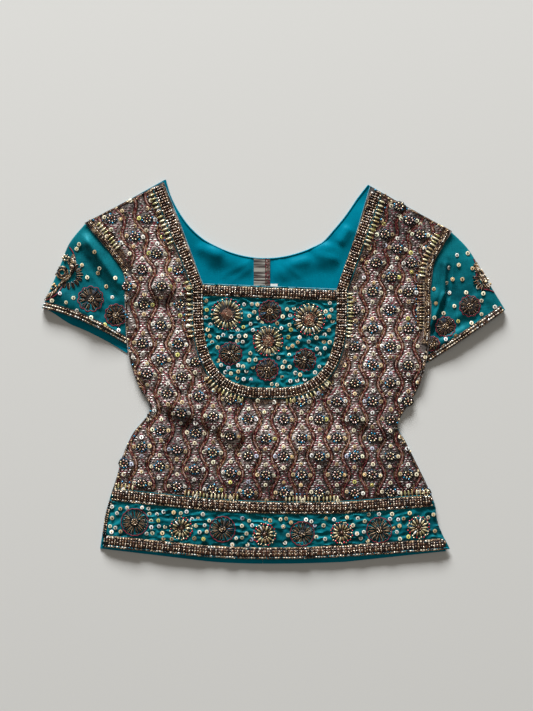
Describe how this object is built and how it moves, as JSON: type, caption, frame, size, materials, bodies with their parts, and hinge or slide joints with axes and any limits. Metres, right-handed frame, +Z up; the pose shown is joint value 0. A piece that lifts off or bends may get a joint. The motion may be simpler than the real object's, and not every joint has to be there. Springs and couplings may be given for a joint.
{
  "type": "embroidered top",
  "caption": "Short-sleeved cropped embroidered top lying flat, front up: beaded brocade body, plain teal yoke, sleeves and hem border with bead rosettes and beaded bands.",
  "frame": {"origin": "middle of the top's outline, on the surface that it lies on", "axes": "+Z up, out of the front of the top; +Y from the hem to the shoulders; +X to the right of someone who looks down at the front"},
  "size_m": [0.518, 0.43, 0.0079],
  "materials": {
    "brocade": "metallic thread brocade with sequins",
    "teal_silk": "crinkled satin",
    "teal_lining": "smooth satin",
    "bead_band": "rows of bugle and seed beads on a cloth band",
    "gold_beads": "silver-lined gold beads",
    "dark_beads": "dark lustre beads",
    "placket_weave": "woven stripe",
    "white_tape": "plain tape"
  },
  "bodies": {
    "root": {"front_body": "brocade", "front_yoke": "teal_silk", "front_border": "teal_silk", "back_left": "teal_lining", "back_right": "teal_lining", "sleeve_left": "teal_silk", "sleeve_right": "teal_silk", "placket": "placket_weave", "label": "white_tape", "neck_band": "bead_band", "yoke_bar": "bead_band", "hem_band_upper": "bead_band", "hem_band_lower": "bead_band", "armhole_band_left": "bead_band", "armhole_band_right": "bead_band", "rosette_01": "gold_beads", "rosette_02": "gold_beads", "rosette_03": "gold_beads", "rosette_04": "dark_beads", "rosette_05": "dark_beads", "rosette_06": "dark_beads", "rosette_07": "dark_beads", "rosette_08": "dark_beads", "rosette_09": "gold_beads", "rosette_10": "dark_beads", "rosette_11": "gold_beads", "rosette_12": "dark_beads", "rosette_13": "gold_beads", "rosette_14": "dark_beads", "rosette_15": "gold_beads"}
  },
  "joints": []
}
